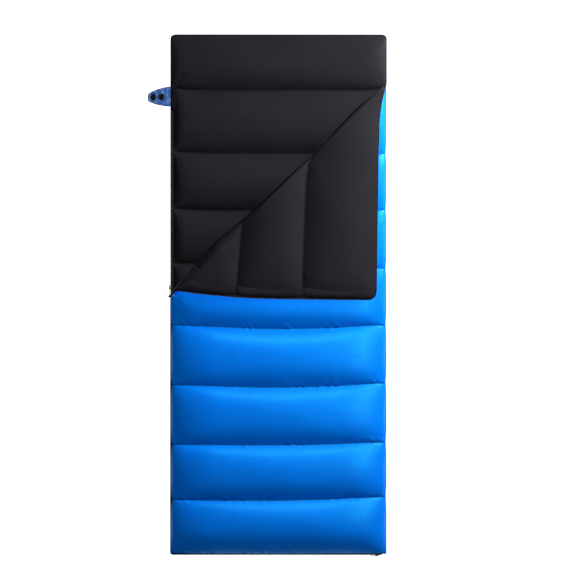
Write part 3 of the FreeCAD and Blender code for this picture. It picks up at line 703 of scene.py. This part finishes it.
def zip_line(top, end, radius=0.012):
    """Chain line in plan from the head down the side, round the foot corner and along the foot."""
    path, inward = [], []
    for y in np.arange(top, CHAIN_Y + radius, -0.01):
        path.append((CHAIN_X, y))
        inward.append((1.0, 0.0))
    for a in np.linspace(0, math.pi / 2, 6):
        path.append((CHAIN_X + radius * (1 - math.cos(a)), CHAIN_Y + radius * (1 - math.sin(a))))
        inward.append((math.cos(a), math.sin(a)))
    for x in np.arange(CHAIN_X + radius + 0.01, end, 0.01):
        path.append((x, CHAIN_Y))
        inward.append((0.0, 1.0))
    path.append((end, CHAIN_Y))
    inward.append((0.0, 1.0))
    return path, inward


back_path, back_in = zip_line(TAPE_TOP, TAPE_END)
tape_back = tape("zip_tape_back_cloth", back_path, back_in, 0.021, 0.024, lo("zip_coil_back")[2] + 0.001)
path, inward = zip_line(ZIP_TOP, FOOT_END)
coil_back = teeth("zip_coil_back_turns", path, inward, CHAIN_Z - COIL_OFFSET)
cover_end = hi("zip_tape_cover")[1]
path, inward = zip_line(cover_end, TAPE_END)
tape_cover = tape("zip_tape_cover_cloth", path, inward, ZIPPED + 0.003, 0.006,
                  hi("zip_coil_cover")[2] - 0.001)
path, inward = zip_line(cover_end, FOOT_END)
coil_cover = teeth("zip_coil_cover_turns", path, inward, CHAIN_Z + COIL_OFFSET)


def closed_span(node):
    """Ends along y of a node of the folded corner, in the closed bag."""
    a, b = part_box(node)
    ys = [(TURN @ Vector((x, y, a[2]))).y for x in (a[0], b[0]) for y in (a[1], b[1])]
    return min(ys), max(ys)


low_y, high_y = closed_span("zip_tape_flap")
flap_ys = np.arange(max(low_y, HINGE.y + 0.006), high_y - 0.012, 0.01)
side_path = [(CHAIN_X + float(drawn_in(y)), y) for y in flap_ys]
side_in = [(1.0, 0.0)] * len(side_path)
tape_flap = tape("zip_tape_flap_cloth", side_path, side_in, COVER_MID - 0.001, 0.012,
                 hi("zip_coil_cover")[2] - 0.001, True)
coil_flap = teeth("zip_coil_flap_turns", side_path[1:-1], side_in[1:-1], CHAIN_Z + COIL_OFFSET, True)

# --- draft tubes ----------------------------------------------------------------------------------


def draft(name, ys, width, low, turn=False):
    """A flat stuffed tube behind the zip, sewn on along the zip edge and free along the other."""
    sections = []
    for y in ys:
        w = float(width(y))
        ring = []
        for i in range(20):
            a = 2 * math.pi * i / 20
            across = math.cos(a)
            dent = 1 - 0.75 * sum(math.exp(-((y - seam) / 0.008) ** 2) for seam in (0.258, 0.533))
            thick = 0.0045 * dent * math.sin(a) * (1 - 0.35 * (across > 0.3)) + 0.0008 * math.sin(y * 61)
            ends = float(fall(max(HEM - y, 0.0), 0.06)) if turn else 1.0
            base = COVER_MID - 0.003 + (low - COVER_MID + 0.003) * ends
            ring.append((float(cover_left(y)) + 0.009 + w * (1 + across) / 2, y,
                         base + thick * (0.3 + 0.7 * ends)))
        sections.append(ring)
    thing = strip(name, sections, PLAIN)
    if turn:
        thing.data.transform(TURN)
    return thing


draft_low, draft_high = closed_span("draft_tube_flap")
ys = np.linspace(draft_low - 0.03, draft_high + 0.016, 130)


def flap_draft_width(y):
    """Wider towards the fold, wavy between the seams, and closed off at both ends."""
    full = 0.031 + 0.012 * (1 - smooth(y, 0.03, 0.30)) + 0.0035 * math.sin(y * 24 + 1.0)
    full = full - 0.010 * smooth(y, ys[-1] - 0.03, ys[-1])
    return 0.004 + (full - 0.004) * float(smooth(y, ys[0], ys[0] + 0.05))


draft_flap = draft("draft_tube_flap_cloth", ys, flap_draft_width, COVER_LOW + 0.002, True)
ys = np.linspace(lo("draft_tube_cover")[1], hi("draft_tube_cover")[1], 100)
draft_cover = draft("draft_tube_cover_cloth", ys, lambda y: 0.036, COVER_LOW + 0.002)

# --- tab ------------------------------------------------------------------------------------------

TAB_HINGE = Vector(JOINTS["tab_close"]["pos_m"])
TAB_CREASE = Vector(JOINTS["tab_tip_close"]["pos_m"])
TAB_DIRECTION = (TAB_CREASE - TAB_HINGE).normalized()
TAB_LENGTH = (lo("tab_tip")[0] - TAB_HINGE.x) / TAB_DIRECTION.x
TAB_UP = Vector((-TAB_DIRECTION.z, 0, TAB_DIRECTION.x))
TAB_UP = TAB_UP if TAB_UP.z > 0 else -TAB_UP


def tab_half(d):
    """Half width of the tab at a distance from its hinge line, with its rounded end."""
    end = TAB_LENGTH
    return np.interp(d, [-0.02, 0, 0.03, 0.07, end - 0.015, end - 0.0075, end - 0.003, end - 0.0004],
                     [0.0435, 0.0425, 0.0395, 0.0315, 0.0215, 0.0185, 0.0140, 0.0105])


def tab_part(name, start, end, thick=0.0022):
    """A length of the tab's cloth between two distances from its hinge line, a darker navy along its edges.
    """
    sections = []
    root = Vector((LEFT + 0.024, TAB_HINGE.y, 0.0285))
    ends = list(np.linspace(start, end - 0.0036, max(4, int((end - start) / 0.004)))) + [end]
    for d in ends:
        if d >= 0:
            at, up = TAB_HINGE + TAB_DIRECTION * d, TAB_UP
        else:
            at = TAB_HINGE.lerp(root, min(1.0, -d / 0.027))
            up = Vector((0.8, 0, 0.6)).lerp(TAB_UP, max(0, 1 + d / 0.01)).normalized()
        half = float(tab_half(d))
        across = [-half, 0.0036 - half, *np.linspace(0.006 - half, half - 0.006, 5), half - 0.0036, half]
        ring = [at + Vector((0, k, 0)) + up * thick * 0.5 for k in across]
        ring += [at + Vector((0, k, 0)) - up * thick * 0.5 for k in reversed(across)]
        sections.append([tuple(p) for p in ring])
    thing = strip(name, sections, TAB)
    # the edge faces and the end of the far piece are coloured a darker navy
    thing.data.materials.append(TAB_EDGE_NAVY)
    for face in thing.data.polygons:
        row, column = divmod(face.index, len(sections[0]))
        tip = end > 0.05 and row == len(sections) - 2
        face.material_index = int(tip or column in (0, 7, 8, 9, 16, 17))
    return thing


tab_near = tab_part("tab_cloth_near", -0.027, 0.016)
tab_far = tab_part("tab_cloth_far", 0.016, TAB_LENGTH - 0.0004)


def facing():
    """The black edge of the back above the zip, which covers the sewn root of the tab. Its cloth is darker
    than the lining and tape, as painted shade.
    """
    y0, y1 = TAPE_TOP - 0.012, TAB_HINGE.y + 0.064
    sections = []
    for y in np.linspace(y0, y1, 34):
        d = y - TAB_HINGE.y
        over = float(smooth(d, -0.062, -0.046) * (1 - smooth(d, 0.044, 0.060)))
        line = [(-0.0225, 0.028 + 0.005 * over), (-0.0185, 0.028 + 0.0085 * over),
                (-0.0140, 0.029 + 0.0160 * over), (-0.0075, 0.030 + 0.0205 * over),
                (-0.0035, 0.030 + 0.0240 * over), (0.0, 0.029 + 0.0273 * over),
                (0.0021, 0.027 + 0.0275 * over), (0.0030, 0.023 + 0.0295 * over)]
        top = [(TAB_HINGE.x - x, y, z) for x, z in line]
        sections.append(top + [(x, y, z - 0.0012) for x, _, z in reversed(top)])
    return strip("tab_root_facing", sections, FACING_SHADED)


tab_facing = facing()


def zip_round():
    """The zip tape where it goes round the end of the fold, from the cover to the corner."""
    sections = []
    for a in np.linspace(-0.5 * math.pi, 0.5 * math.pi, 17):
        out = 0.002 + 0.005 * abs(math.cos(a)) ** 0.8
        rise = 0.0260
        ring = []
        for along, far in ((0.0, 0.0), (0.0, 0.0014), (0.011, 0.0014), (0.011, 0.0)):
            at = HINGE + ALONG * along + OUT * ((out + far) * math.cos(a))
            at.z = HINGE.z + (rise + far) * math.sin(a)
            ring.append(tuple(at))
        sections.append(ring)
    return strip("zip_tape_round", sections, TAPE)


tape_round = zip_round()


def lathe(name, centre, up, profile, material, steps=32):
    """A turned part: profile holds (radius, height) pairs from its middle outwards."""
    side = up.orthogonal().normalized()
    other = up.cross(side)
    points, faces = [], []
    for r, h in profile:
        for i in range(steps):
            a = 2 * math.pi * i / steps
            points.append(centre + up * h + (side * math.cos(a) + other * math.sin(a)) * r)
    rings = len(profile)
    for i in range(rings - 1):
        for j in range(steps):
            k = (j + 1) % steps
            faces.append((i * steps + j, i * steps + k, (i + 1) * steps + k, (i + 1) * steps + j))
    faces.append(tuple(range(steps))[::-1])
    faces.append(tuple((rings - 1) * steps + j for j in range(steps)))
    return mesh_object(name, points, faces, material)


CAP = [(0.0008, 0.0024), (0.0046, 0.0025), (0.0058, 0.0023), (0.0065, 0.0017), (0.0076, 0.0017),
       (0.0088, 0.0024), (0.0118, 0.0022), (0.0136, 0.0015), (0.0145, 0.0006), (0.0145, 0.0)]
caps = []
for number, distance in enumerate((0.0465, 0.0855), start=1):
    at = TAB_HINGE + TAB_DIRECTION * distance + TAB_UP * 0.0011
    caps.append(lathe(f"snap_cap_{number}", at, TAB_UP, CAP[::-1], SNAP))

# --- bodies, stand-ins and finishes ---------------------------------------------------------------

nodes = frame["nodes"]
fills = {p: [n for n in nodes if n.startswith(f"{p}_fill_")] for p in ("back", "cover", "flap")}
rigid = [
    (back_top, "back", "lining", ["back_lining", *fills["back"]]),
    (back_shell, "back", "outer_shell", ["back_shell"]),
    (cover_shell, "cover", "outer_shell", ["cover_shell", *fills["cover"]]),
    (cover_lining, "cover", "lining", ["cover_lining"]),
    (flap_shell, "flap", "outer_shell", ["flap_shell", *fills["flap"]]),
    (flap_lining, "flap", "lining", ["flap_lining"]),
    (tape_back, "back", "zip_tape", ["zip_tape_back"]),
    (tab_facing, "back", "zip_tape", []),
    (coil_back, "back", "zip_coil", ["zip_coil_back"]),
    (tape_cover, "cover", "zip_tape", ["zip_tape_cover"]),
    (coil_cover, "cover", "zip_coil", ["zip_coil_cover"]),
    (tape_flap, "flap", "zip_tape", ["zip_tape_flap"]),
    (coil_flap, "flap", "zip_coil", ["zip_coil_flap"]),
    (draft_cover, "cover", "lining", ["draft_tube_cover"]),
    (draft_flap, "flap", "lining", ["draft_tube_flap"]),
    (caps[0], "tab_tip", "snap_plastic", ["tab_snap_caps"]),
    (caps[1], "tab_tip", "snap_plastic", ["tab_snap_caps"]),
]
for thing, body, slot, stands_for in rigid:
    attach(thing, body)
    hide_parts(*stands_for)
for thing, slot in ((nose_lining, "lining"), (nose_shell, "outer_shell"), (tape_round, "zip_tape")):
    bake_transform(thing)
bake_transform(side_fold)
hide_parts("side_fold_back", "side_fold_cover")
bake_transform(tab_near)
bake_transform(tab_far)
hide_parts("tab_root", "tab_base")
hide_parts("tab_tip")

FINISH = {"zip_coil": COIL, "slider_metal": METAL, "snap_plastic": SNAP, "zip_tape": TAPE}
slots = {s["node"]: s["material_slot"] for s in frame["record"]["subparts"]}
for name, thing in nodes.items():
    if not thing.hide_render:
        thing.data.materials.clear()
        thing.data.materials.append(FINISH.get(slots[name], PLAIN))

# --- stage, light and camera ----------------------------------------------------------------------


CAMERA_LENS = 135
SENSOR = 36
VIEW_WIDTH = 2.411


def build_stage():
    """White floor, one lamp that casts shadows, three that don't, and a camera straight above."""
    scene = bpy.context.scene
    t = Tree("floor_paper")
    place = t.add("TexCoord").outputs["Object"]
    tone = t.noise(place, 1.5, 2.0)
    t.give(t.shader.inputs["Base Color"], t.mix(tone, (0.44, 0.44, 0.44, 1), (0.47, 0.47, 0.47, 1)))
    t.give(t.shader.inputs["Roughness"], 0.9)
    t.give(t.shader.inputs["Emission Color"], (1, 1, 1, 1))
    t.give(t.shader.inputs["Emission Strength"], 0.86)
    corners = [(-9, -9, -0.0012), (9, -9, -0.0012), (9, 9, -0.0012), (-9, 9, -0.0012)]
    floor = mesh_object("floor", corners, [(0, 1, 2, 3)], t.material)
    world = bpy.data.worlds.new("studio")
    scene.world = world
    world.use_nodes = True
    world.node_tree.nodes["Background"].inputs[0].default_value = (1, 1, 1, 1)
    world.node_tree.nodes["Background"].inputs[1].default_value = 0.04

    def lamp(name, at, aim, size, power, shadow=True):
        data = bpy.data.lights.new(name, "AREA")
        data.shape = "RECTANGLE"
        data.size, data.size_y = size
        data.energy = power
        thing = bpy.data.objects.new(name, data)
        scene.collection.objects.link(thing)
        thing.location = at
        thing.rotation_euler = (Vector(aim) - Vector(at)).to_track_quat("-Z", "Y").to_euler()
        data.use_shadow = shadow

    lamp("key", (2.1, 1.9, 1.05), (0.0, 0.0, 0.0), (0.9, 0.6), 50)
    lamp("soft_key", (2.1, 1.9, 1.05), (0.0, 0.0, 0.0), (0.9, 0.6), 140, False)
    lamp("side_strip", (0.98, 0.35, 2.4), (0.33, 0.35, 0.0), (2.4, 0.22), 34, False)
    lamp("head_strip", (0.08, 1.3, 2.4), (0.05, -0.4, 0.0), (0.5, 0.3), 17, False)
    data = bpy.data.cameras.new("camera")
    data.lens = CAMERA_LENS
    data.sensor_width = SENSOR
    camera = bpy.data.objects.new("camera", data)
    camera.location = (0.040, 0.025, VIEW_WIDTH * CAMERA_LENS / SENSOR)
    scene.collection.objects.link(camera)
    scene.camera = camera
    scene.view_settings.view_transform = "Standard"


build_stage()
